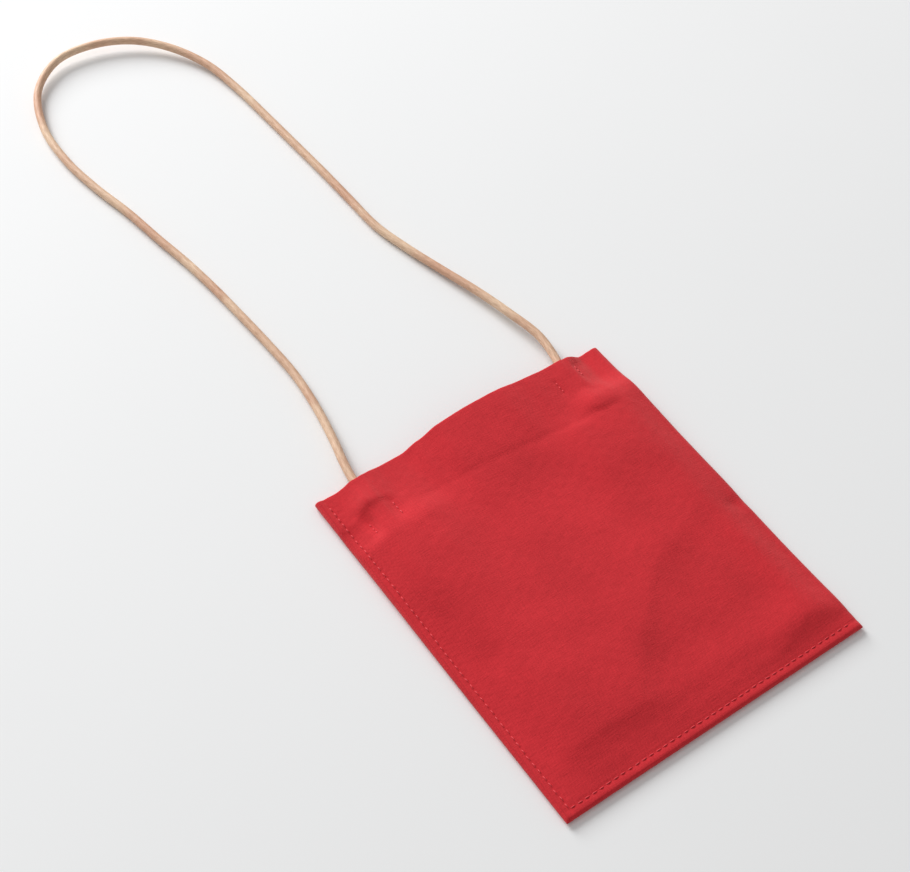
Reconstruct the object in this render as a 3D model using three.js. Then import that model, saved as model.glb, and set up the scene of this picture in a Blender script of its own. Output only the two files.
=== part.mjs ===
// Flat canvas pouch with a round leather cord as its strap, lying on its back.
// Millimetres, +X from the left seam to the right fold, +Y from the bottom seam to the mouth, +Z up.
// The origin is on the surface that the pouch lies on, under the middle of the pouch.
//
// The pouch is one sheet of canvas: folded along its right side, sewn along its left side and its
// bottom with the edges turned in, and turned in again at the mouth as a deep facing. A short strip
// sewn inside the mouth at each side holds one end of the cord, which is knotted below it.
import * as THREE from 'three';

// Canvas pouch
const pouchWidth = 152;
const pouchHeight = 180.5;
const canvasThickness = 0.7;
const layerGap = 0.25;          // air between the facing and the panel that it is turned in from
const seamAllowance = 8;        // canvas turned in along the left side and the bottom
const facingDepth = 28.5;       // canvas turned in at the mouth, at its middle
const facingSlant = 0.1;        // the facing is turned in deeper towards the fold, by this much a mm
const seamHeight = 3.2;         // four layers of canvas, pressed and sewn together
const facingSeamExtra = 1.0;    // the seam and the mouth are thicker where the facing lies
const topstitchInset = 4;       // from the seam's edge to its stitch row
const topstitchPinch = 0.35;    // how far the stitch row draws the canvas down
const fullness = 4.9;           // how far the front panel stands above the seams
const foldRound = 3.2;          // how far in from the right side the canvas starts to turn
const frontDraw = 1.2;          // the lifted front edge of the mouth lies this far back at its sides

// Leather cord and the canvas loops that hold it
const cordDiameter = 4;
const loopThickness = 1.0;      // canvas strip, folded double and pressed
const loopLength = 17;          // across the cord
const loopWidth = 9;            // along the cord
const loopRowInset = 2.2;       // from each end of the loop to the stitch row that holds it
const leftCordInset = 19.2;     // from the left seam's edge to the cord
const rightCordInset = 23.4;    // from the right fold to the cord
const leftCordSwing = 1;        // the cord's ends swing to the right by this much at the mouth
const rightCordSwing = 2.6;
const leftLoopDrop = 24.6;      // from the mouth to the middle of each loop
const rightLoopDrop = 10.5;
const leftKnotDrop = 44.5;      // from the mouth to the middle of each knot
const rightKnotDrop = 45.5;
const leftKnotTrail = 34;       // the canvas falls away over this far below each knot
const rightKnotTrail = 22;
const clearance = 0.3;          // between pieces that touch

// Worked out from the sizes above
const cordRadius = cordDiameter / 2;
const mouthWall = 2 * canvasThickness + layerGap;
const facingEdge = pouchHeight - facingDepth;
const knotSpread = 1.05 * cordDiameter;
const knotLift = 0.55 * cordDiameter;
const knotMiddleZ = canvasThickness + clearance + knotLift + cordRadius;
const knotCover = knotMiddleZ + knotLift + cordRadius + 1.5 * clearance + canvasThickness;
const cordInLoopZ = mouthWall + 2 * clearance + loopThickness + cordRadius;
const loopCover = 2 * mouthWall + loopThickness + 2.5 * clearance;
const leastCavity = 0.6;

// The two ends of the cord inside the pouch. turn is the side that the knot's lobes lie on.
const leftEnd = {
  x: -pouchWidth / 2 + leftCordInset, swing: leftCordSwing, mouthZ: cordInLoopZ - 1.2, turn: 1,
  loopY: pouchHeight - leftLoopDrop, knotY: pouchHeight - leftKnotDrop, trail: leftKnotTrail,
};
const rightEnd = {
  x: pouchWidth / 2 - rightCordInset, swing: rightCordSwing, mouthZ: cordInLoopZ - 0.3, turn: -1,
  loopY: pouchHeight - rightLoopDrop, knotY: pouchHeight - rightKnotDrop, trail: rightKnotTrail,
};

// Where the hem of the facing lies, and how far on a slant the canvas runs at y to follow it
const hemY = (x) => facingEdge - facingSlant * x;
const slantAt = (y) => facingSlant * ease(pouchHeight - y, facingDepth)
  * ease(y - facingEdge + facingDepth, facingDepth);

// How far back the lifted front of the mouth lies: most at its sides and over the left end of the cord
const drawnAt = (x, y) => frontDraw * ease(y - facingEdge, facingDepth)
  * (1 - bell(x - 8, 26) + 0.8 * bell(x - leftEnd.x, 8));

// Soft steps and bells that the forms of the canvas are made of
const bell = (distance, width) => Math.exp(-((distance / width) ** 2));
const softStep = (distance, width) => 0.5 * (1 + Math.tanh(distance / width));
const beyond = (distance, reach) => Math.max(Math.abs(distance) - reach, 0);

function ease(distance, run) {
  const share = Math.min(Math.max(distance / run, 0), 1);
  return share * share * (3 - 2 * share);
}

// How far along its way from the loop to the mouth an end of the cord is at y
const towardsMouth = (end, y) => ease(y - end.loopY - loopWidth / 2, pouchHeight - end.loopY - loopWidth / 2);
const cordX = (end, y) => end.x + end.swing * towardsMouth(end, y);
const cordZ = (end, y) => cordInLoopZ + (end.mouthZ - cordInLoopZ) * towardsMouth(end, y);

// The mouth's front edge climbs over each end of the cord and stands open between them. Each point
// is a share of the half width and the height above the flat layers of the mouth.
const mouthLift = [
  [-1, 1.4], [-0.9, 0.2], [-0.78, 2.6], [-0.66, 4.0], [-0.56, 2.4], [-0.42, 2.2], [-0.3, 5.0],
  [-0.16, 8.4], [0.06, 9.0], [0.26, 9.0], [0.44, 7.2], [0.6, 6.2], [0.71, 6.4], [0.8, 2.2],
  [0.87, 0.3], [0.93, 1.0], [1, 2.0],
];

function mouthTop(x) {
  const share = Math.min(Math.max((2 * x) / pouchWidth, -1), 1);
  const k = Math.max(mouthLift.findIndex(([place]) => place > share) - 1, 0);
  const [[from, low], [to, high]] = share < 1 ? mouthLift.slice(k, k + 2) : mouthLift.slice(-2);
  return 2 * mouthWall + low + (high - low) * ease(share - from, to - from);
}

// Soft folds in the front panel: below a ridge that climbs from the bottom to the fold it lies in a
// shallow hollow, it has a shoulder above the left half of the bottom seam and a crest like a low roof
// above the right corner, and dents by both sides
function softFolds(x, y) {
  const ridge = 68.7 + (x - 20.8) * (0.38 + 0.59 * softStep(20.8 - x, 6));
  const below = 1 - Math.exp(-Math.max(ridge - y, 0) / 15);
  const hollow = 2 * below * ease(y - seamAllowance, 30) * bell(beyond(x - 24, 28), 12);
  const shoulder = 0.6 * softStep(y - 21, 2.2) * bell(beyond(x + 39, 16), 8) * bell(y - 24, 20);
  const roof = Math.max(20.4 - 0.5 * Math.abs(x - 60), 9);
  const slope = softStep(y - (roof + 6) / 2, (roof - 4) / 3.5);
  const crest = 1.9 * slope * bell(x - 62, 18) * bell(Math.max(y - roof, 0), 8);
  const seamDents = 0.9 * bell(x + 60, 6) * bell(y - 73, 7) + 0.7 * bell(x + 64, 5) * bell(y - 98, 6);
  const foldDent = 0.8 * bell(x - 71, 4) * bell(y - 76, 4);
  return shoulder + crest - hollow - seamDents - foldDent;
}

// Folds near the mouth: the panel swells below the facing's hem, and the fold is blown up below its
// upper corner, with a valley above it
function mouthFolds(x, y) {
  const fromCrest = hemY(x) - 9 - y;
  const run = 26 - 13 * softStep(x - 5, 12);
  const swell = 0.5 * bell(fromCrest, fromCrest > 0 ? run : 8);
  const fromBlown = facingEdge - 0.5 - y;
  const blown = 2.7 * bell(fromBlown, fromBlown > 0 ? 14 : 7.5) * bell(beyond(x - 62, 9), 8);
  const valley = 1.5 * bell(y - 165.5, 5) * bell(x - 58, 11);
  return swell + blown - valley;
}

// How much of the way up to the cord, or to the knot at its end, the canvas is drawn at (x, y)
function overCord(x, y, end) {
  const beside = beyond(x - cordX(end, y), 0.55 * cordDiameter);
  return bell(beside, 0.65 * cordDiameter) * softStep(y - end.knotY, cordDiameter);
}

function overKnot(x, y, end) {
  const middle = end.x + end.turn * 1.37 * knotSpread;
  const beside = beyond(x - middle, 1.8 * knotSpread);
  const along = beyond(y - end.knotY, 1.6 * knotSpread);
  return bell(beside, 3 * cordDiameter) * bell(along, y < end.knotY ? end.trail : 2 * cordDiameter);
}

function overLoop(x, y, end) {
  const beside = beyond(x - end.x, loopLength / 2);
  return bell(beside, 3) * bell(beyond(y - end.loopY, loopWidth / 2), 2);
}

// Height of the front panel's outer face over the point (x, y), with y from the bottom edge
function panelTop(x, y) {
  const fromLeft = x + pouchWidth / 2;
  const fromRight = pouchWidth / 2 - x;
  const fromMouth = pouchHeight - y;
  const inFacing = softStep(y - hemY(x), 1.8);

  // It swells up from the seams, stays fuller at the upper part of the fold, and shows the step of the
  // facing's hem most at its two sides
  const riseLeft = ease(fromLeft - topstitchInset, 24);
  const atFold = 0.42 * ease(y - 50, 45);
  const riseRight = atFold + (1 - atFold) * ease(fromRight, 16);
  const riseBottom = 0.4 * ease(y - topstitchInset, 14) + 0.6 * ease(y - topstitchInset, 52);
  let top = seamHeight + fullness * riseLeft * riseRight * riseBottom;
  const folds = softFolds(x, y) + mouthFolds(x, y);
  const step = facingSeamExtra * (1 - 0.7 * riseLeft * softStep(38 - x, 8));
  top += step * inFacing + folds * riseLeft * ease(y, 2 * topstitchInset);

  // It opens towards the mouth
  top += (mouthTop(x) - top) * ease(1.5 * facingDepth - fromMouth, 1.5 * facingDepth) ** 1.6;

  // The left loop's outer stitch row draws a hollow in at its upper end
  top -= 2.2 * bell(x - leftEnd.x + 4.5, 4.5) * bell(y - leftEnd.loopY - 0.5 * loopWidth, 2.8);

  // It lies over both ends of the cord, their loops and their knots
  for (const end of [leftEnd, rightEnd]) {
    const cordCover = cordZ(end, y - frontDraw) + cordRadius + 1.5 * clearance + mouthWall;
    top += Math.max(loopCover - top, 0) * overLoop(x, y, end);
    top += Math.max(cordCover - top, 0) * overCord(x, y, end);
    top += Math.max(knotCover - top, 0) * overKnot(x, y, end);
  }
  const layers = 2 * canvasThickness + 2 * (mouthWall - canvasThickness) * inFacing;
  return Math.max(top, layers + leastCavity);
}

// The same face with the dip that the stitch rows along the left side and the bottom pull into it
function frontTop(x, y) {
  const fromLeft = x + pouchWidth / 2;
  const leftRow = bell(fromLeft - topstitchInset, 0.9) * ease(y, topstitchInset);
  const bottomRow = bell(y - topstitchInset, 0.9) * ease(fromLeft, topstitchInset);
  return panelTop(x, y) - topstitchPinch * Math.max(leftRow, bottomRow);
}

// Evenly spaced places from one to just before the next
function spread(from, to, step) {
  const count = Math.max(Math.round((to - from) / step), 1);
  return Array.from({ length: count }, (_, k) => from + ((to - from) * k) / count);
}

// Places across the front where a section has a point, counted from the left seam's edge: closer
// together at the stitch row and over the ends of the cord. Past the settled one every layer of the
// canvas has its points one above the other.
const fineStep = 3.2;
const coarseStep = 7.5;
const stitchDip = [topstitchInset - 0.9, topstitchInset, topstitchInset + 0.9];
const beadRound = seamHeight / 2;
const leftZone = leftCordInset + 16;
const rightZone = pouchWidth - rightCordInset - 15;
const frontPlaces = [
  beadRound, ...stitchDip,
  ...spread(seamAllowance, leftZone, fineStep),
  ...spread(leftZone, rightZone, coarseStep),
  ...spread(rightZone, pouchWidth - foldRound, fineStep),
  pouchWidth - foldRound,
];
const settledPlace = 1.5 * seamAllowance;
const backShares = [1, 0.82, 0.6, 0.4, 0.18, 0];
const turnSteps = 4;

// One closed section of the pouch at height y: the front from left to right, the turn at the fold,
// the back from right to left and the turn at the left. depth is how far it lies inside the outer
// face of the canvas, inset how far its left edge lies in from the seam's edge, round how wide it
// turns there, and flatten presses it towards its middle height.
function section({ y, depth = 0, inset = 0, round = 0, flatten = 1 }) {
  const leftX = -pouchWidth / 2 + inset + round;
  const rightX = pouchWidth / 2 - foldRound;
  const slant = slantAt(y);
  const top = (x) => frontTop(x, y - slant * x);
  const point = (x, z, share, overX) => {
    const middle = top(overX) / 2;
    return [x, y - slant * overX - drawnAt(overX, y) * share, middle + (z - middle) * flatten];
  };
  const settledX = -pouchWidth / 2 + settledPlace;
  const acrossFront = (place) => {
    const short = Math.max(settledPlace - place, 0) / (settledPlace - beadRound);
    return place < settledPlace ? settledX - (settledX - leftX) * short : place - pouchWidth / 2;
  };
  const acrossBack = (share) => leftX + (rightX - leftX) * share;
  const front = frontPlaces.map(acrossFront).map((x) => point(x, top(x) - depth, 1, x));
  const back = backShares.map(acrossBack).map((x) => point(x, depth, 0, x));
  const turn = (x, reach, side) => {
    const half = (top(x) - 2 * depth) / 2;
    return Array.from({ length: turnSteps - 1 }, (_, k) => {
      const angle = (Math.PI * (k + 1)) / turnSteps;
      const z = depth + half + side * half * Math.cos(angle);
      return point(x + side * reach * Math.sin(angle), z, 0.5 + 0.5 * side * Math.cos(angle), x);
    });
  };
  return [...front, ...turn(rightX, foldRound - depth, 1), ...back, ...turn(leftX, round, -1)];
}

// Joins a run of sections into one closed skin, with a flat face over the first and the last. The
// quads of every layer are split the same way, so that layers close together stay apart.
function skinOver(sections) {
  const width = sections[0].length;
  const points = sections.flat();
  const faces = [];
  for (let row = 0; row + 1 < sections.length; row += 1) {
    const climbs = sections[row + 1][0][1] > sections[row][0][1];
    for (let k = 0; k < width; k += 1) {
      const here = row * width + k;
      const next = row * width + ((k + 1) % width);
      const [above, nextAbove] = [here + width, next + width];
      if (climbs) faces.push(here, next, above, next, nextAbove, above);
      else faces.push(here, next, nextAbove, here, nextAbove, above);
    }
  }
  const close = (row, forwards) => {
    const rim = sections[row].map((point) => new THREE.Vector3(...point));
    const middle = new THREE.Box3().setFromPoints(rim).getCenter(new THREE.Vector3());
    points.push(middle.toArray());
    for (let k = 0; k < width; k += 1) {
      const [here, next] = [row * width + k, row * width + ((k + 1) % width)];
      faces.push(points.length - 1, ...(forwards ? [here, next] : [next, here]));
    }
  };
  close(0, false);
  close(sections.length - 1, true);
  const geometry = new THREE.BufferGeometry();
  geometry.setAttribute('position', new THREE.Float32BufferAttribute(points.flat(), 3));
  geometry.setIndex(faces);
  geometry.computeVertexNormals();
  return geometry;
}

// The pouch: up its outer face, over the fold at the mouth, down the facing, round the facing's
// lower edge, up between the two layers, and down the inner face to the bottom seam
function pouchBody() {
  const foldY = pouchHeight - mouthWall / 2;
  const facingInset = seamAllowance + layerGap;
  const nose = [25, 55, 90].map((degrees) => {
    const angle = THREE.MathUtils.degToRad(degrees);
    const y = beadRound * (Math.cos(THREE.MathUtils.degToRad(25)) - Math.cos(angle));
    return { y, round: beadRound, flatten: Math.sin(angle) };
  });
  const knotZone = facingEdge - 28;
  const lowPlaces = [
    ...spread(seamAllowance, knotZone, coarseStep), ...spread(knotZone, facingEdge, fineStep),
  ];
  const facingPlaces = [...spread(facingEdge, foldY, fineStep), foldY];
  const outer = [...stitchDip, ...lowPlaces, ...facingPlaces.slice(0, -1)];
  const mouthFold = [0, 45, 90, 135].map((degrees) => {
    const angle = THREE.MathUtils.degToRad(degrees);
    const depth = (mouthWall / 2) * (1 - Math.cos(angle));
    const y = foldY + (mouthWall / 2) * Math.sin(angle);
    return { y, depth, inset: depth, round: Math.max(beadRound - depth, 0) };
  });
  const facing = { depth: mouthWall, inset: facingInset + canvasThickness };
  const between = { depth: canvasThickness + layerGap, inset: facingInset };
  const inner = { depth: canvasThickness, inset: seamAllowance };
  return skinOver([
    ...nose,
    ...outer.map((y) => ({ y, round: beadRound })),
    ...mouthFold,
    ...facingPlaces.toReversed().map((y) => ({ y, ...facing })),
    ...facingPlaces.map((y) => ({ y, ...between })),
    ...[...lowPlaces, ...facingPlaces].toReversed().map((y) => ({ y, ...inner })),
  ].map(section));
}

// A loop is a strip that lies against the inside of the front at both of its ends and hangs under the
// cord between them
function cordLoop(end) {
  const halfLength = loopLength / 2;
  const seat = (side) => {
    const heights = [-1, 0, 1].flatMap((row) => [halfLength, halfLength - 2 * loopRowInset].map(
      (reach) => frontTop(end.x + side * reach, end.loopY + (row * loopWidth) / 2),
    ));
    return Math.min(...heights) - mouthWall - 1.5 * clearance - loopThickness / 2;
  };
  const seats = { left: seat(-1), right: seat(1) };
  const lowest = cordInLoopZ - cordRadius - clearance - loopThickness / 2;
  const hang = (x) => {
    const level = seats.left + (seats.right - seats.left) * softStep(x, halfLength / 2);
    return level + (lowest - level) * bell(x, 0.95 * cordDiameter);
  };
  const places = spread(-halfLength, halfLength, loopLength / 18).concat(halfLength);
  const upper = places.map((x) => new THREE.Vector2(x, hang(x) + loopThickness / 2));
  const lower = places.map((x) => new THREE.Vector2(x, hang(x) - loopThickness / 2)).reverse();
  const strip = new THREE.Shape([...lower.reverse(), ...upper.reverse()]);
  const geometry = new THREE.ExtrudeGeometry(strip, { depth: loopWidth, bevelEnabled: false, steps: 1 });
  geometry.rotateX(Math.PI / 2);
  geometry.translate(end.x, end.loopY + loopWidth / 2, 0);
  return geometry;
}

// A round cord along a smooth curve through the points
function cordAlong(points, sides, steps) {
  const curve = new THREE.CatmullRomCurve3(points, false, 'centripetal');
  const rim = Array.from({ length: sides }, (_, k) => {
    const angle = (2 * Math.PI * k) / sides;
    return new THREE.Vector2(cordRadius * Math.cos(angle), cordRadius * Math.sin(angle));
  });
  return new THREE.ExtrudeGeometry(new THREE.Shape(rim), {
    steps, bevelEnabled: false, extrudePath: curve,
  });
}

// Half of an overhand knot, from its middle out to where its strands leave it. Across and along are
// in strand spacings, up is the strand's level. The other half is this one turned over.
const halfKnot = [
  [-0.08, 0.72, -0.5], [0.75, 1.4, -1], [1.9, 1.95, -0.6], [2.75, 1.85, -0.2], [3.1, 1.2, 0.3],
  [2.85, 0.55, 0.75], [2.3, 0, 1], [1.85, -0.42, 0.6], [1.4, -0.86, -0.5], [0.75, -1.4, -1],
  [0.12, -2.2, -0.5],
];
const knotLead = [[0, 3, 0], [0, 2.8, 0]];
const knotTail = [[0, -3, -0.5], [0, -3.8, -0.9]];
const knotReach = 3 * knotSpread;

function cordKnot(end) {
  const place = ([across, along, up]) => new THREE.Vector3(
    end.x + end.turn * across * knotSpread, end.knotY + along * knotSpread, knotMiddleZ + up * knotLift,
  );
  const turnedOver = halfKnot.map(([across, along, up]) => [across, -along, -up]).reverse();
  const strand = [...knotLead, ...turnedOver, [-0.35, 0, 0], ...halfKnot, ...knotTail];
  return cordAlong(strand.map(place), 8, 64);
}

// The strap lies on the surface in one long loop, as the photograph shows it. Each point is x, y and
// how far the stiff cord stands off the surface there.
const strapPoints = [
  [-53.9, 191.4, 1.8], [-51.3, 201.9, 1.4], [-47.2, 223.2, 0.7], [-44.9, 245.2, 0.2], [-45.3, 266.9, 0],
  [-46.6, 288.6, 0], [-48.2, 310.3, 0], [-50.7, 332.2, 0], [-54.3, 354, 0], [-57.7, 377, 0],
  [-62.6, 400.8, 0], [-65.7, 425.4, 0.1], [-64.3, 452, 0.6], [-53.8, 478, 1.5], [-35.8, 490.8, 2.7],
  [-15.2, 490, 3.3], [2.8, 481.4, 3.2], [16.6, 466.8, 2.2], [26.5, 446, 1.1], [30.6, 421.1, 0.4],
  [32.3, 395.7, 0], [33.5, 370.8, 0], [34.6, 346.6, 0], [35.2, 323.3, 0], [35.9, 300.4, 0.1],
  [40.1, 279.5, 0.4], [45.4, 259, 0.9], [50.6, 238.7, 1.8], [54.7, 218.4, 2.6], [57.7, 198.3, 3],
];
const floorGap = 0.05;

function leatherCord() {
  const inside = (end) => {
    const start = end.knotY + knotReach + clearance;
    const below = end.loopY - loopWidth / 2;
    const above = end.loopY + loopWidth / 2;
    const towards = [above, (above + pouchHeight) / 2, pouchHeight];
    return [
      new THREE.Vector3(end.x, start, knotMiddleZ),
      new THREE.Vector3(end.x, (start + below) / 2, (knotMiddleZ + cordInLoopZ) / 2),
      new THREE.Vector3(end.x, below, cordInLoopZ),
      ...towards.map((y) => new THREE.Vector3(cordX(end, y), y, cordZ(end, y))),
    ];
  };
  const strap = strapPoints.map(([x, y, lift]) => new THREE.Vector3(x, y, cordRadius + floorGap + lift));
  return cordAlong([...inside(leftEnd), ...strap, ...inside(rightEnd).reverse()], 8, 78);
}

const canvas = () => new THREE.MeshStandardMaterial({ color: 0xbe3039, roughness: 0.92, metalness: 0 });
const leather = () => new THREE.MeshStandardMaterial({ color: 0xcc9f7c, roughness: 0.6, metalness: 0 });

function piece(name, geometry, material) {
  const mesh = new THREE.Mesh(geometry, material);
  mesh.name = name;
  return mesh;
}

const pouch = new THREE.Group();
pouch.position.y = -pouchHeight / 2;
pouch.add(
  piece('pouch_body', pouchBody(), canvas()),
  piece('cord_loop_left', cordLoop(leftEnd), canvas()),
  piece('cord_loop_right', cordLoop(rightEnd), canvas()),
  piece('leather_cord', leatherCord(), leather()),
  piece('cord_knot_left', cordKnot(leftEnd), leather()),
  piece('cord_knot_right', cordKnot(rightEnd), leather()),
);

const model = new THREE.Group();
model.add(pouch);

export default model;
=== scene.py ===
"""Canvas pouch with a leather cord strap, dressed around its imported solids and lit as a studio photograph.

The pouch is one sheet of canvas: folded along its right side, sewn along its left side and its bottom, and
turned in at the mouth as a deep facing. Lengths inside the form functions are millimetres, with x from the
middle of the pouch and y from its bottom edge, and meshes are written in metres in the frame of the solids.
"""

import math

import bpy
import numpy as np
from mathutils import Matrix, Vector


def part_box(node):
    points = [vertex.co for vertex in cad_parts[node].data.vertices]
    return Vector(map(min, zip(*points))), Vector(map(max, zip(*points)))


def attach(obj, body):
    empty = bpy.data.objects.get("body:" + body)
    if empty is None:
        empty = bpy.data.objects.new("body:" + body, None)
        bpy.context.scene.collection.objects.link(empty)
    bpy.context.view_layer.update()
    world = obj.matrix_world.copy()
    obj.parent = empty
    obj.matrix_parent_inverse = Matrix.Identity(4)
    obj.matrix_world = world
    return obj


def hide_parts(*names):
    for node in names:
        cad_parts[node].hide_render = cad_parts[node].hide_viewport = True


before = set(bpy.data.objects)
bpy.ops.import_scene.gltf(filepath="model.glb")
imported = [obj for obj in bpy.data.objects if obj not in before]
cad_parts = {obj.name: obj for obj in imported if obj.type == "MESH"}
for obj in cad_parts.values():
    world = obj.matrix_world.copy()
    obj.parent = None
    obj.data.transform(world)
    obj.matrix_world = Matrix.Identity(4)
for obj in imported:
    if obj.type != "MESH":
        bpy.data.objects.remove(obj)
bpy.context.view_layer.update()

bl_info = {
    "name": "Canvas pouch with a cord strap",
    "version": (1, 0, 0),
    "blender": (4, 5, 0),
    "location": "View3D > Sidebar > Pouch",
    "description": "Builds a flat canvas pouch, its stitches and its leather cord strap on packed solids",
    "category": "Add Mesh",
}

MM = 0.001
POUCH_LOW, POUCH_HIGH = (np.array(corner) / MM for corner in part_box("pouch_body"))


# Soft steps and bells that the forms of the canvas are made of

def bell(distance, width):
    """One at distance zero, falling smoothly to nothing past about twice the width."""
    return np.exp(-((distance / width) ** 2))


def soft_step(distance, width):
    """Nought well below zero and one well above it, with a slope about two widths long."""
    return 0.5 * (1 + np.tanh(distance / width))


def ease(distance, run):
    """A smooth climb from nought at zero to one at run."""
    share = np.clip(distance / run, 0, 1)
    return share * share * (3 - 2 * share)


def above(value):
    """The value where it is over nought."""
    return np.maximum(value, 0)


def rounded_above(value, corner):
    """The value where it is well over nought, with the corner at nought rounded."""
    return 0.5 * (value + np.sqrt(value**2 + corner**2))


def beyond(distance, reach):
    """How far past the reach it lies, on either side."""
    return above(np.abs(distance) - reach)


def plateau(place, middle, reach, edge):
    """One within reach of the middle, falling smoothly to nothing past it over about twice the edge."""
    return bell(beyond(place - middle, reach), edge)


def uneven_bell(distance, over, under):
    """A bell that is as wide as over where the distance is over nought, and as wide as under elsewhere."""
    return bell(distance, np.where(distance > 0, over, under))


def ripples(x, y, seed, count, longest, shortest):
    """A smooth random field of about unit height: a sum of sines of random direction and phase, the shorter
    the lower."""
    rng = np.random.default_rng(seed)
    total = np.zeros(np.broadcast(x, y).shape)
    for _ in range(count):
        length = shortest * (longest / shortest) ** rng.random()
        angle = rng.random() * math.pi
        phase = rng.random() * 2 * math.pi
        along = x * math.cos(angle) + y * math.sin(angle)
        total += (length / longest) * np.sin(2 * math.pi * along / length + phase)
    return total / math.sqrt(count)


class CordEnd:
    """One end of the cord inside the pouch. Its loop and its knot sit at x, at the heights loop_y and
    knot_y, and turn is the side to which the knot hooks. On its way to the mouth the cord leans across by
    swing, and it lies mouth_z high there. Below the knot the canvas falls off over the trail."""

    def __init__(self, x, swing, mouth_z, turn, loop_y, knot_y, trail):
        self.x, self.swing, self.mouth_z, self.turn = x, swing, mouth_z, turn
        self.loop_y, self.knot_y, self.trail = loop_y, knot_y, trail


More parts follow.
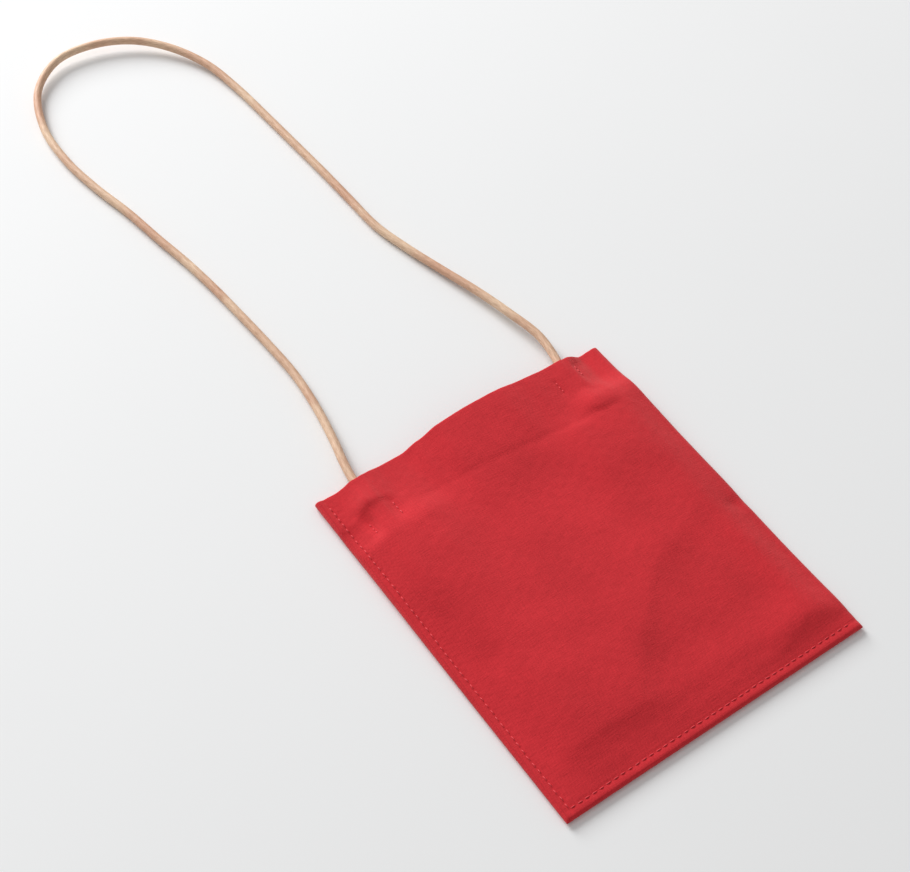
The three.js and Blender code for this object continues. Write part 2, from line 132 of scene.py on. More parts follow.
class PouchForm:
    """The forms of the pouch, in millimetres: those that its solids are made from, with softer edges on
    the folds and a lip over the left loop that the scene adds. What is called a span is a middle, a reach
    on either side of it, and the width of the soft edge beyond."""

    canvas = 0.7
    layer_gap = 0.25
    seam_allowance = 8.0
    facing_depth = 28.5
    facing_slant = 0.1
    seam_height = 3.2
    facing_seam_extra = 1.0
    topstitch_inset = 4.0
    topstitch_pinch = 0.35
    topstitch_groove = 0.9
    bottom_pinch = 0.6
    fullness = 4.9
    fold_round = 3.2
    loop_thickness = 1.0
    loop_length = 17.0
    loop_width = 9.0
    loop_row_inset = 2.2
    clearance = 0.3
    knot_spread_per_cord = 1.05
    knot_lift_per_cord = 0.55

    # The mouth: the lift of its front edge at shares of half the width, and where and how it starts to open
    mouth_lift = np.array([
        [-1, 1.4], [-0.9, 0.2], [-0.78, 2.6], [-0.66, 4.0], [-0.56, 2.4], [-0.42, 2.2], [-0.3, 5.0],
        [-0.16, 8.4], [0.06, 9.0], [0.26, 9.0], [0.44, 7.2], [0.6, 6.2], [0.71, 6.4], [0.8, 2.2],
        [0.87, 0.3], [0.93, 1.0], [1, 2.0],
    ])
    mouth_middle = (2, 24, 14)
    opening, opening_more = 1.5, 0.6
    opening_power, opening_power_less = 1.6, 0.5

    # How far back the lifted front edge is drawn, where it is drawn least, and more over the left cord
    front_draw = 1.2
    least_drawn = (8, 0, 26)
    drawn_at_cord, drawn_at_cord_width = 0.8, 8

    # How the panel climbs from its edges, and what share of its height the fold itself has further up
    left_climb = 24
    right_climb = 16
    bottom_climbs = ((0.4, 14), (0.6, 52))
    fold_share = 0.42
    fold_start, fold_climb = 50, 45
    least_inside = 0.6

    # The step over the facing's hem, and where it fades
    hem_edge = 1.8
    step_fading = 0.7
    step_left_end, step_left_edge = 38, 8
    step_right_start, step_right_edge = 60, 5

    # The ridge across the lower right, steeper left of its bend, and the hollow below it
    ridge_x, ridge_y = 20.8, 68.7
    ridge_slope, ridge_steeper = 0.38, 0.59
    ridge_bend = 6
    ridge_corner = 2.2
    hollow_depth = 2
    hollow_fall = 13
    hollow_foot = 30
    hollow_span = (24, 28, 12)

    # The shoulder, the trough and the crest above the bottom seam
    shoulder_height = 0.65
    shoulder_foot, shoulder_foot_edge = 21, 2.2
    shoulder_top, shoulder_top_edge = 24, 20
    shoulder_span = (-39, 16, 8)
    trough_depth = 0.6
    trough_y, trough_width = 15, 4.5
    trough_end, trough_edge = 30, 12
    crest_height = 1.4
    crest_x, crest_width = 62, 18
    crest_edge = 14
    roof_x, roof_y = 60, 20.4
    roof_slope = 0.5
    roof_eaves = 9
    roof_foot = 6
    roof_steepness = 3.5

    # The swell below the facing's hem, and the fold that is blown up near its upper end
    swell_height = 0.5
    swell_drop = 9
    swell_below, swell_below_less = 26, 13
    swell_turn, swell_turn_edge = 5, 12
    swell_above = 8
    blown_height = 2.7
    blown_drop = 0.5
    blown_below, blown_above = 14, 7.5
    blown_span = (62, 9, 8)

    # Small dents: depth, middle and width across, middle and width up the pouch
    dents = ((0.9, -60, 6, 73, 7), (0.7, -64, 5, 98, 6), (0.8, 71, 4, 76, 4), (1.5, 58, 11, 165.5, 5))

    # How far the canvas lies on the cord and how it falls off beside it, in cord diameters
    cord_reach = 0.55
    cord_flank, cord_outer_flank = 0.65, 1.3

    # Where it lies on a knot, in knot spreads, and how it falls off around it, in cord diameters
    knot_offset = 1.37
    knot_reach_across, knot_reach_along = 1.8, 1.6
    knot_flank, knot_upper_flank = 3, 2

    # How it falls off around a loop
    loop_flank_across, loop_flank_along = 3, 2

    # The lip over the left loop: height, start past the loop's edge, run, and span across from its middle
    lips = ((1.7, 1, 2.5, (-5.7, 0, 4.5)), (0.5, 2.2, 1.1, (2.3, 4, 2.5)))
    lip_end, lip_edge = 3, 8

    def __init__(self, cord_diameter):
        self.width = POUCH_HIGH[0] - POUCH_LOW[0]
        self.height = POUCH_HIGH[1] - POUCH_LOW[1]
        self.cord = cord_diameter
        self.cord_radius = cord_diameter / 2
        self.mouth_wall = 2 * self.canvas + self.layer_gap
        self.facing_edge = self.height - self.facing_depth
        self.knot_spread = self.knot_spread_per_cord * cord_diameter
        self.knot_lift = self.knot_lift_per_cord * cord_diameter
        self.knot_middle = self.canvas + self.clearance + self.knot_lift + self.cord_radius
        self.knot_cover = (
            self.knot_middle + self.knot_lift + self.cord_radius + 1.5 * self.clearance + self.canvas
        )
        self.cord_in_loop = self.mouth_wall + 2 * self.clearance + self.loop_thickness + self.cord_radius
        self.loop_cover = 2 * self.mouth_wall + self.loop_thickness + 2.5 * self.clearance
        self.left = CordEnd(
            x=-self.width / 2 + 19.2, swing=1.0, mouth_z=self.cord_in_loop - 1.2, turn=1,
            loop_y=self.height - 24.6, knot_y=self.height - 44.5, trail=34,
        )
        self.right = CordEnd(
            x=self.width / 2 - 23.4, swing=2.6, mouth_z=self.cord_in_loop - 0.3, turn=-1,
            loop_y=self.height - 10.5, knot_y=self.height - 45.5, trail=22,
        )

    def towards_mouth(self, end, y):
        """Nought at the top of the loop and one at the mouth."""
        loop_top = end.loop_y + self.loop_width / 2
        return ease(y - loop_top, self.height - loop_top)

    def cord_x(self, end, y):
        """Where the cord lies across."""
        return end.x + end.swing * self.towards_mouth(end, y)

    def cord_z(self, end, y):
        """How high the middle of the cord lies."""
        return self.cord_in_loop + (end.mouth_z - self.cord_in_loop) * self.towards_mouth(end, y)

    def hem_y(self, x):
        """Where the hem of the facing lies."""
        return self.facing_edge - self.facing_slant * x

    def in_facing(self, x, y):
        """Nought below the hem of the facing and one above it."""
        return soft_step(y - self.hem_y(x), self.hem_edge)

    def slant_at(self, y):
        """How far on a slant the canvas runs at y, to follow the hem: nought at the mouth and well below
        the hem."""
        from_mouth = ease(self.height - y, self.facing_depth)
        from_foot = ease(y - self.facing_edge + self.facing_depth, self.facing_depth)
        return self.facing_slant * from_mouth * from_foot

    def drawn(self, x, y):
        """How far back the lifted front of the mouth lies: most at its sides and over the left cord end."""
        at_cord = self.drawn_at_cord * bell(x - self.left.x, self.drawn_at_cord_width)
        at_x = 1 - plateau(x, *self.least_drawn) + at_cord
        return self.front_draw * ease(y - self.facing_edge, self.facing_depth) * at_x

    def mouth_top(self, x):
        """Height of the mouth's front edge: eased between the listed places."""
        share = np.clip(2 * x / self.width, -1, 1)
        places, lifts = self.mouth_lift.T
        k = np.clip(np.searchsorted(places, share, side="right") - 1, 0, len(places) - 2)
        lift = lifts[k] + (lifts[k + 1] - lifts[k]) * ease(share - places[k], places[k + 1] - places[k])
        return 2 * self.mouth_wall + lift

    def hollow(self, x, y):
        """Depth below the ridge, which climbs from the bottom to the fold: it nears its full depth with the
        distance from the ridge, and runs out towards the bottom seam and to either side."""
        steeper = self.ridge_steeper * soft_step(self.ridge_x - x, self.ridge_bend)
        ridge = self.ridge_y + (x - self.ridge_x) * (self.ridge_slope + steeper)
        below = 1 - np.exp(-rounded_above(ridge - y, self.ridge_corner) / self.hollow_fall)
        from_seam = ease(y - self.seam_allowance, self.hollow_foot)
        return self.hollow_depth * below * from_seam * plateau(x, *self.hollow_span)

    def seam_folds(self, x, y):
        """A shoulder above the left half of the bottom seam with a trough below it, and a crest like a low
        roof above the right corner."""
        shoulder = self.shoulder_height * soft_step(y - self.shoulder_foot, self.shoulder_foot_edge)
        shoulder = shoulder * bell(y - self.shoulder_top, self.shoulder_top_edge)
        shoulder = shoulder * plateau(x, *self.shoulder_span)
        trough = self.trough_depth * bell(y - self.trough_y, self.trough_width)
        trough = trough * bell(above(x - self.trough_end), self.trough_edge)
        roof = np.maximum(self.roof_y - self.roof_slope * np.abs(x - self.roof_x), self.roof_eaves)
        slope_width = (roof - self.topstitch_inset) / self.roof_steepness
        slope = soft_step(y - (roof + self.roof_foot) / 2, slope_width)
        crest = self.crest_height * slope * bell(x - self.crest_x, self.crest_width)
        return shoulder - trough + crest * bell(above(y - roof), self.crest_edge)

    def mouth_folds(self, x, y):
        """The panel swells below the facing's hem, and the fold is blown up near its upper end."""
        less = self.swell_below_less * soft_step(x - self.swell_turn, self.swell_turn_edge)
        from_swell = self.hem_y(x) - self.swell_drop - y
        swell = self.swell_height * uneven_bell(from_swell, self.swell_below - less, self.swell_above)
        from_blown = self.facing_edge - self.blown_drop - y
        blown = self.blown_height * uneven_bell(from_blown, self.blown_below, self.blown_above)
        return swell + blown * plateau(x, *self.blown_span)

    def dented(self, x, y):
        """Depth of the small dents."""
        return sum(
            depth * bell(x - middle_x, width_x) * bell(y - middle_y, width_y)
            for depth, middle_x, width_x, middle_y, width_y in self.dents
        )

    def over_cord(self, x, y, end):
        """One over the cord from its knot to the mouth, falling off beside it, slowly by the fold."""
        off = x - self.cord_x(end, y)
        by_fold = (off > 0) & (end.turn < 0)
        flank = np.where(by_fold, self.cord_outer_flank, self.cord_flank) * self.cord
        return bell(beyond(off, self.cord_reach * self.cord), flank) * soft_step(y - end.knot_y, self.cord)

    def over_knot(self, x, y, end):
        """One over the knot, falling off around it, most slowly down the panel."""
        middle = end.x + end.turn * self.knot_offset * self.knot_spread
        beside = plateau(x, middle, self.knot_reach_across * self.knot_spread, self.knot_flank * self.cord)
        along = beyond(y - end.knot_y, self.knot_reach_along * self.knot_spread)
        return beside * bell(along, np.where(y < end.knot_y, end.trail, self.knot_upper_flank * self.cord))

    def over_loop(self, x, y, end):
        """One over the loop, falling off around it."""
        beside = plateau(x, end.x, self.loop_length / 2, self.loop_flank_across)
        return beside * plateau(y, end.loop_y, self.loop_width / 2, self.loop_flank_along)

    def closed_top(self, x, y):
        """The panel without the mouth's lift: it swells up from its seams and the fold, steps up over the
        facing and has its folds and dents, which run out at the seams."""
        rise_left = ease(x + self.width / 2 - self.topstitch_inset, self.left_climb)
        at_fold = self.fold_share * ease(y - self.fold_start, self.fold_climb)
        rise_right = at_fold + (1 - at_fold) * ease(self.width / 2 - x, self.right_climb)
        from_row = y - self.topstitch_inset
        rise_bottom = sum(share * ease(from_row, climb) for share, climb in self.bottom_climbs)
        top = self.seam_height + self.fullness * rise_left * rise_right * rise_bottom
        left_of = soft_step(self.step_left_end - x, self.step_left_edge)
        right_of = soft_step(x - self.step_right_start, self.step_right_edge)
        step = self.facing_seam_extra * (1 - self.step_fading * rise_left * (left_of + right_of))
        folds = self.seam_folds(x, y) + self.mouth_folds(x, y) - self.hollow(x, y) - self.dented(x, y)
        return top + step * self.in_facing(x, y) + folds * rise_left * ease(y, 2 * self.topstitch_inset)

    def opened(self, x, y, top):
        """The panel lifted towards the mouth's front edge, from further down in the middle of the mouth."""
        in_middle = plateau(x, *self.mouth_middle)
        run = (self.opening + self.opening_more * in_middle) * self.facing_depth
        power = self.opening_power - self.opening_power_less * in_middle
        return top + (self.mouth_top(x) - top) * ease(run - (self.height - y), run) ** power

    def covering(self, x, y, top, end):
        """The panel lifted over one end of the cord: over its loop, the cord itself and its knot."""
        cord_high = self.cord_z(end, y - self.front_draw) + self.cord_radius
        cord_cover = cord_high + 1.5 * self.clearance + self.mouth_wall
        top = top + above(self.loop_cover - top) * self.over_loop(x, y, end)
        top = top + above(cord_cover - top) * self.over_cord(x, y, end)
        return top + above(self.knot_cover - top) * self.over_knot(x, y, end)

    def lip(self, x, y):
        """Height of the lip above the left loop, which runs out towards the mouth."""
        past_loop = y - self.left.loop_y - self.loop_width / 2
        rise = sum(
            height * soft_step(past_loop - start, run) * plateau(x - self.left.x, *span)
            for height, start, run, span in self.lips
        )
        return rise * bell(above(past_loop - self.lip_end), self.lip_edge)

    def panel_top(self, x, y):
        """Height of the front panel: it opens towards the mouth, lies over the two ends of the cord, and
        leaves room for its own layers."""
        top = self.opened(x, y, self.closed_top(x, y))
        for end in (self.left, self.right):
            top = self.covering(x, y, top, end)
        layers = 2 * self.canvas + 2 * (self.mouth_wall - self.canvas) * self.in_facing(x, y)
        return np.maximum(top + self.lip(x, y), layers + self.least_inside)

    def front_top(self, x, y):
        """Height of the front with the pinch of its two stitch rows."""
        inset, groove = self.topstitch_inset, self.topstitch_groove
        from_left = x + self.width / 2
        left_row = bell(from_left - inset, groove) * ease(y, inset)
        bottom_row = self.bottom_pinch * bell(y - inset, groove) * ease(from_left, inset)
        return self.panel_top(x, y) - self.topstitch_pinch * np.maximum(left_row, bottom_row)


# Meshes

def new_piece(name, vertices, faces, uvs=None, smooth=True):
    """A mesh object at the origin from an array of vertices in metres, faces and a uv for each vertex."""
    mesh = bpy.data.meshes.new(name)
    mesh.from_pydata(vertices.tolist(), [], faces)
    if uvs is not None:
        loops = np.zeros(len(mesh.loops), dtype=np.int32)
        mesh.loops.foreach_get("vertex_index", loops)
        layer = mesh.uv_layers.new(name="cloth")
        layer.data.foreach_set("uv", uvs[loops].astype(np.float32).ravel())
    mesh.polygons.foreach_set("use_smooth", np.full(len(mesh.polygons), smooth))
    mesh.validate()
    mesh.update()
    piece = bpy.data.objects.new(name, mesh)
    bpy.context.scene.collection.objects.link(piece)
    return piece


def ring_faces(rows, around):
    """Quads between rings that close on themselves, wound so that a ring turning clockwise faces out."""
    row, k = np.meshgrid(np.arange(rows - 1), np.arange(around), indexing="ij")
    here = row * around + k
    after = row * around + (k + 1) % around
    return np.stack([here, after, after + around, here + around], axis=-1).reshape(-1, 4)


# Points on each stretch of a curve before they are spaced out, and how much of its radius a tube's end loses
CURVE_STEPS = 24
END_ROUND = 0.3


def smooth_curve(points, spacing):
    """The centripetal curve through the points, as points about spacing apart: each stretch is the cubic
    whose end slopes come from the square roots of the distances to its neighbours."""
    points = np.asarray(points, float)
    padded = np.vstack([2 * points[0] - points[1], points, 2 * points[-1] - points[-2]])
    steps = np.linalg.norm(np.diff(padded, axis=0), axis=1)[:, None] ** 0.5
    before, inside, behind = steps[:-2], steps[1:-1], steps[2:]
    p0, p1, p2, p3 = padded[:-3], padded[1:-2], padded[2:-1], padded[3:]
    out = ((p1 - p0) / before - (p2 - p0) / (before + inside) + (p2 - p1) / inside) * inside
    into = ((p2 - p1) / inside - (p3 - p1) / (inside + behind) + (p3 - p2) / behind) * inside
    t = np.linspace(0, 1, CURVE_STEPS, endpoint=False)[None, :, None]
    p1, p2, out, into = (part[:, None, :] for part in (p1, p2, out, into))
    cubic = p1 + out * t + (3 * (p2 - p1) - 2 * out - into) * t**2 + (2 * (p1 - p2) + out + into) * t**3
    dense = np.vstack([cubic.reshape(-1, 3), points[-1]])
    reach = np.concatenate([[0], np.cumsum(np.linalg.norm(np.diff(dense, axis=0), axis=1))])
    places = np.linspace(0, reach[-1], max(int(reach[-1] / spacing), 2) + 1)
    return np.stack([np.interp(places, reach, dense[:, axis]) for axis in range(3)], axis=1)


def tube(name, path, radius, around, rough, seed):
    """A round tube: a circle carried along the path, level across it, closed at both ends with a slightly
    rounded edge. Its radius wanders by about rough along it, as a cut and rolled cord's does."""
    tangent = np.gradient(path, axis=0)
    tangent /= np.linalg.norm(tangent, axis=1)[:, None]
    across = np.cross([0, 0, 1.0], tangent)
    across /= np.linalg.norm(across, axis=1)[:, None]
    upward = np.cross(tangent, across)
    reach = np.concatenate([[0], np.cumsum(np.linalg.norm(np.diff(path, axis=0), axis=1))])
    angle = np.linspace(0, 2 * math.pi, around, endpoint=False)
    along = reach[:, None]
    wander = 1 + rough * ripples(along, 0.0, seed, count=9, longest=60, shortest=8)
    lobes = 3 * np.sin(angle)[None, :]
    lumps = 1 + 0.5 * rough * ripples(along, lobes, seed + 1, count=9, longest=12, shortest=3)
    near_end = np.minimum(reach, reach[-1] - reach)
    edge = np.clip(1 - near_end / (END_ROUND * radius), 0, 1)
    closing = 1 - END_ROUND * (1 - np.sqrt(1 - edge**2 * 0.999))
    size = (radius * closing)[:, None] * wander * lumps
    rim_across = np.cos(angle)[None, :, None] * across[:, None, :]
    rim_up = np.sin(angle)[None, :, None] * upward[:, None, :]
    ring = path[:, None, :] + size[:, :, None] * (rim_across + rim_up)
    vertices = np.vstack([ring.reshape(-1, 3), path[0], path[-1]])
    count = len(path) * around
    sides = ring_faces(len(path), around)[:, ::-1]
    k = np.arange(around)
    after = (k + 1) % around
    first = np.stack([np.full(around, count), k, after], axis=1)[:, ::-1]
    start = count - around
    last = np.stack([np.full(around, count + 1), start + after, start + k], axis=1)[:, ::-1]
    faces = sides.tolist() + first.tolist() + last.tolist()
    v = np.repeat(reach, around)
    u = np.tile(angle * radius, len(path))
    uvs = np.vstack([np.stack([u, v], axis=1), [[0, 0], [0, reach[-1]]]]) * MM
    return new_piece(name, to_frame(vertices), faces, uvs)


def to_frame(points):
    """From millimetres above the bottom edge to metres in the frame of the solids."""
    middle = (POUCH_HIGH + POUCH_LOW) / 2
    shift = np.array([middle[0], POUCH_LOW[1], 0.0])
    return (np.asarray(points) + shift) * MM


# Steps between the rings and the columns of the pouch's skin, finer near the seams
FINE_STEP, SEAM_STEP, STEP = 0.4, 0.45, 0.95
FINE_TO = 9
FACING_STEP, INSIDE_STEP = 1.6, 3.0

# Steps across the back as shares of it, from the fold to the sewn side, and where they get finer
BACK_STEP, BACK_FINE_STEP = 0.02, 0.004
BACK_FINE_FROM = 0.94

# Where the rings of the bottom's round end, and the gaps that are left to the mouth's edge and the hem
NOSE_END = 1.8
MOUTH_GAP, HEM_GAP = 0.4, 1.2

# The round of the hem: how far down, and at which share of its thickness
HEM = ((0, 1.0), (0.35, 0.86), (0.35, 0.14), (0, 0.0))

# The reach of a turn that is all but sharp, and how deep and wide the stitch rows pull the back in
SHARP = 0.02
BACK_PINCH, BACK_GROOVE = 0.3, 0.7


def pouch_surface(form, pitch):
    """The whole skin of the folded and sewn canvas. Rings run round the pouch: across the front, round the
    fold, back across the back and round the sewn side. They follow each other up the outside, over the
    mouth's edge, down the facing, round its hem, up behind it and down inside to the bottom seam."""
    half = form.width / 2
    bead = form.seam_height / 2
    wall = form.mouth_wall
    fold_y = form.height - wall / 2
    right_x = half - form.fold_round
    facing_inset = form.seam_allowance + form.layer_gap

    # Each row is its height up the pouch, its depth under the surface, its inset from the sewn side, the
    # reach of its round there, and how much of the panel's height it has
    nose = np.radians(np.array([8, 16, 26, 38, 50, 64, 78]))
    nose_rows = [(bead * (math.cos(nose[0]) - math.cos(a)), 0, 0, bead, math.sin(a)) for a in nose]
    near_seam = np.arange(NOSE_END, FINE_TO, SEAM_STEP)
    outer = np.concatenate([near_seam, np.arange(FINE_TO, fold_y - MOUTH_GAP, STEP)])
    outer_rows = [(y, 0, 0, bead, 1) for y in outer]
    fold_rows = []
    for angle in np.radians(np.arange(0, 180, 22.5)):
        depth = wall / 2 * (1 - math.cos(angle))
        fold_rows.append((fold_y + wall / 2 * math.sin(angle), depth, depth, max(bead - depth, SHARP), 1))
    in_facing = np.arange(form.facing_edge + HEM_GAP, fold_y, FACING_STEP)
    facing_rows = [(y, wall, facing_inset + form.canvas, SHARP, 1) for y in (fold_y, *in_facing[::-1])]
    hem_rows = []
    for down, share in HEM:
        depth = form.canvas + form.layer_gap + (wall - form.canvas - form.layer_gap) * share
        hem_rows.append((form.facing_edge - down, depth, facing_inset + form.canvas * share, SHARP, 1))
    behind_rows = [(y, form.canvas + form.layer_gap, facing_inset, SHARP, 1) for y in (*in_facing, fold_y)]
    below = np.arange(form.seam_allowance, form.facing_edge, INSIDE_STEP)
    inner_rows = [
        (y, form.canvas, form.seam_allowance, SHARP, 1) for y in (fold_y, *in_facing[::-1], *below[::-1])
    ]
    rows = nose_rows + outer_rows + fold_rows + facing_rows + hem_rows + behind_rows + inner_rows
    y, depth, inset, turn_round, flatten = (np.array(column, float)[:, None] for column in zip(*rows))

    left_x = -half + inset + turn_round
    span = right_x - left_x
    to_fold = form.width - form.fold_round
    across = np.concatenate([np.arange(bead, FINE_TO, FINE_STEP), np.arange(FINE_TO, to_fold, STEP)])
    shares = (np.append(across, to_fold) - bead) / (to_fold - bead)
    coarse = np.arange(0, BACK_FINE_FROM, BACK_STEP)
    back = 1 - np.concatenate([coarse, np.arange(BACK_FINE_FROM, 0.9999, BACK_FINE_STEP), [1]])
    around = np.radians(np.arange(15, 170, 15))[None, :]
    slant = form.slant_at(y)
    outside = (depth < form.canvas / 2) * 1.0

    def top(x):
        """Height of the outside of the front."""
        row_y = y - slant * x
        return form.front_top(x, row_y) + cloth_detail(form, x, row_y, pitch) * flatten

    def under(x):
        """How far the stitch rows pull the back up."""
        left_row = bell(x + half - form.topstitch_inset, BACK_GROOVE)
        bottom_row = bell(y - form.topstitch_inset, BACK_GROOVE)
        return outside * BACK_PINCH * np.maximum(left_row, bottom_row)

    def placed(x, z, share, over):
        """Points at x and z, drawn back by their share of what the front is drawn back over there."""
        row_y = y - slant * over
        middle = form.front_top(over, row_y) / 2
        place_y = row_y - form.drawn(over, y) * share
        return np.stack(np.broadcast_arrays(x, place_y, middle + (z - middle) * flatten), axis=-1)

    def turned(x, reach, side):
        """The half round from the front to the back, or back again on the other side."""
        half_way = (top(x) - 2 * depth) / 2
        z = depth + half_way + side * half_way * np.cos(around)
        place = x + side * reach * np.sin(around)
        return placed(place, z, 0.5 + 0.5 * side * np.cos(around), x)

    x_front = left_x + span * shares[None, :]
    x_back = left_x + span * back[None, :]
    rings = np.concatenate([
        placed(x_front, top(x_front) - depth, 1.0, x_front),
        turned(right_x, form.fold_round - depth, 1),
        placed(x_back, depth + under(x_back), 0.0, x_back),
        turned(left_x, turn_round, -1),
    ], axis=1)

    count = rings.shape[1]
    middle_row = len(nose_rows) + len(outer_rows) // 2
    ring = rings[middle_row]
    u = np.concatenate([[0], np.cumsum(np.linalg.norm(np.diff(ring, axis=0), axis=1))])
    column = rings[:, len(across) // 2]
    v = np.concatenate([[0], np.cumsum(np.linalg.norm(np.diff(column, axis=0), axis=1))])
    uvs = np.stack(np.meshgrid(u, v), axis=-1).reshape(-1, 2) * MM
    faces = ring_faces(len(rows), count).tolist()
    last = (len(rows) - 1) * count
    faces.append(list(range(count))[::-1])
    faces.append(list(range(last, last + count)))
    return rings.reshape(-1, 3), faces, uvs


# Puckers beside the stitch rows: height, distance from the row and width
LEFT_PUCKERS = ((-0.09, 0, 0.9), (0.06, 2, 1.6))
BOTTOM_PUCKERS = ((-0.05, 0, 0.9), (0.05, 2, 1.6))
PUCKERS_START = 3

# The groove under the facing's hem, the dips along the tack rows, and where the waves of the cloth start
GROOVE_DEPTH, GROOVE_DROP, GROOVE_WIDTH = 0.12, 1.4, 1.5
GROOVE_SPAN = (8, 34, 12)
TACK_DIP, TACK_WIDTH, TACK_END = 0.45, 0.9, 1.2
WAVES_START, WAVES_RUN = 5, 8

# The waves of the cloth: height, seed, how many, longest and shortest
WAVES = ((0.10, 5, 14, 26, 9), (0.05, 8, 18, 9, 3.4))


def cloth_detail(form, x, y, pitch):
    """What the solids leave out: the canvas puckers between the stitches of each row, dips along the tack
    rows, lies in a groove under the facing's hem, and is nowhere quite flat."""
    from_left = x + form.width / 2

    def puckers(rows, from_edge, along):
        """A row's bells, as high as the cosine of the place along its stitches."""
        wave = np.cos(2 * math.pi * along / pitch)
        from_row = from_edge - form.topstitch_inset
        return sum(height * wave * bell(from_row - distance, width) for height, distance, width in rows)

    left_side = puckers(LEFT_PUCKERS, from_left, y) * ease(y - PUCKERS_START, PUCKERS_START)
    bottom = puckers(BOTTOM_PUCKERS, y, x) * ease(from_left - PUCKERS_START, PUCKERS_START)
    groove = GROOVE_DEPTH * bell(y - form.hem_y(x) + GROOVE_DROP, GROOVE_WIDTH) * plateau(x, *GROOVE_SPAN)
    tacks = sum(
        TACK_DIP * bell(x - row_x, TACK_WIDTH) * plateau(y, (low + high) / 2, (high - low) / 2, TACK_END)
        for row_x, low, high in tack_rows(form)
    )
    waves = sum(height * ripples(x, y, *field) for height, *field in WAVES)
    inside = ease(from_left - WAVES_START, WAVES_RUN) * ease(y - WAVES_START, WAVES_RUN)
    return left_side + bottom - groove - tacks + waves * inside


# Each row that holds a loop: its side of the loop, how far it strays across, and its low and high end
LEFT_TACK_ROWS = ((-1, -0.3, -6.8, 0.6), (1, 0.9, -5.4, 3.6))
RIGHT_TACK_ROWS = ((-1, -0.9, -6.4, 0.8), (1, -0.2, -2.6, 4.8))


def tack_rows(form):
    """The short stitch rows that hold the ends of each loop: place across, low end, high end."""
    reach = form.loop_length / 2 - form.loop_row_inset
    return [
        (end.x + side * reach + stray, end.loop_y + low, end.loop_y + high)
        for end, rows in ((form.left, LEFT_TACK_ROWS), (form.right, RIGHT_TACK_ROWS))
        for side, stray, low, high in rows
    ]


# Points along and around a loop's strip and a stitch
STRIP_ROWS, STRIP_AROUND = 61, 40
STITCH_ROWS, STITCH_AROUND = 9, 8

# Powers that square off a strip's section and its tips, and how much thinner and narrower a tip is
SQUARE_ACROSS, SQUARE_UP, SQUARE_TIP = 0.25, 0.5, 40
TIP_THINNING, TIP_NARROWING = 0.9, 0.03

# A thread's thickness at its tips as a share, and the depth and the turns of its twist
THREAD_TIP = 0.35
TWIST_DEPTH, TWIST_TURNS = 0.14, 9


def strip_surface(form, end):
    """A loop: a flat strip with rounded edges that hangs under the cord between its two sewn ends."""
    half = form.loop_length / 2
    grid_x = np.array([half, half - 2 * form.loop_row_inset])
    grid_y = end.loop_y + form.loop_width / 2 * np.array([[-1], [0], [1]])

    def seat(side):
        """Height at which that sewn end of the strip lies under the front panel."""
        lowest_top = form.front_top(end.x + side * grid_x[None, :], grid_y).min()
        return lowest_top - form.mouth_wall - 1.5 * form.clearance - form.loop_thickness / 2

    low_side, high_side = seat(-1), seat(1)
    lowest = form.cord_in_loop - form.cord_radius - form.clearance - form.loop_thickness / 2
    x = np.linspace(-half, half, STRIP_ROWS)[:, None]
    level = low_side + (high_side - low_side) * soft_step(x, half / 2)
    middle = level + (lowest - level) * bell(x, 0.95 * form.cord)
    angle = np.linspace(0, 2 * math.pi, STRIP_AROUND, endpoint=False)[None, :]
    across = np.sign(np.cos(angle)) * np.abs(np.cos(angle)) ** SQUARE_ACROSS
    upward = np.sign(np.sin(angle)) * np.abs(np.sin(angle)) ** SQUARE_UP
    tip = 1 - TIP_THINNING * (np.abs(x) / half) ** SQUARE_TIP
    y = end.loop_y + form.loop_width / 2 * across * (1 - TIP_NARROWING + TIP_NARROWING * tip)
    z = middle + form.loop_thickness / 2 * upward * tip
    ring = np.stack(np.broadcast_arrays(end.x + x, y, z), axis=-1)
    rows, count = ring.shape[:2]
    faces = ring_faces(rows, count).tolist()
    faces.append(list(range(count))[::-1])
    faces.append(list(range((rows - 1) * count, rows * count)))
    u = np.broadcast_to(end.x + x, ring.shape[:2])
    v = ring[:, :, 1]
    return ring.reshape(-1, 3), faces, np.stack([u, v], axis=-1).reshape(-1, 2) * MM


def stitch_surface(starts, ends, lift, radius):
    """Stitches as short thread arcs: a round section carried from start to end, higher in the middle by
    lift, thinner towards its two ends, with the twist of the thread in its section."""
    starts, ends = np.asarray(starts, float), np.asarray(ends, float)
    share = np.linspace(0, 1, STITCH_ROWS)
    along = ends - starts
    length = np.linalg.norm(along, axis=1)[:, None]
    forward = along / length
    side = np.cross([0, 0, 1.0], forward)
    side /= np.linalg.norm(side, axis=1)[:, None]
    arch = np.sin(math.pi * share)
    centre = starts[:, None, :] + along[:, None, :] * share[None, :, None]
    centre = centre + np.array([0, 0, 1.0]) * (np.asarray(lift)[:, None] * arch)[:, :, None]
    angle = np.linspace(0, 2 * math.pi, STITCH_AROUND, endpoint=False)
    thick = radius * (THREAD_TIP + (1 - THREAD_TIP) * arch**0.5)
    twist = 1 + TWIST_DEPTH * np.cos(2 * angle[None, :] - TWIST_TURNS * share[:, None])
    size = thick[:, None] * twist
    rim_side = np.cos(angle)[None, None, :, None] * side[:, None, None, :]
    rim_up = np.sin(angle)[None, None, :, None] * np.array([0, 0, 1.0])
    ring = centre[:, :, None, :] + size[None, :, :, None] * (rim_side + rim_up)
    stitches, rows, around = ring.shape[:3]
    faces_one = ring_faces(rows, around)[:, ::-1].tolist()
    faces_one.append(list(range(around)))
    faces_one.append(list(range((rows - 1) * around, rows * around))[::-1])
    per = rows * around
    faces = [[index + s * per for index in face] for s in range(stitches) for face in faces_one]
    return ring.reshape(-1, 3), faces


# Materials

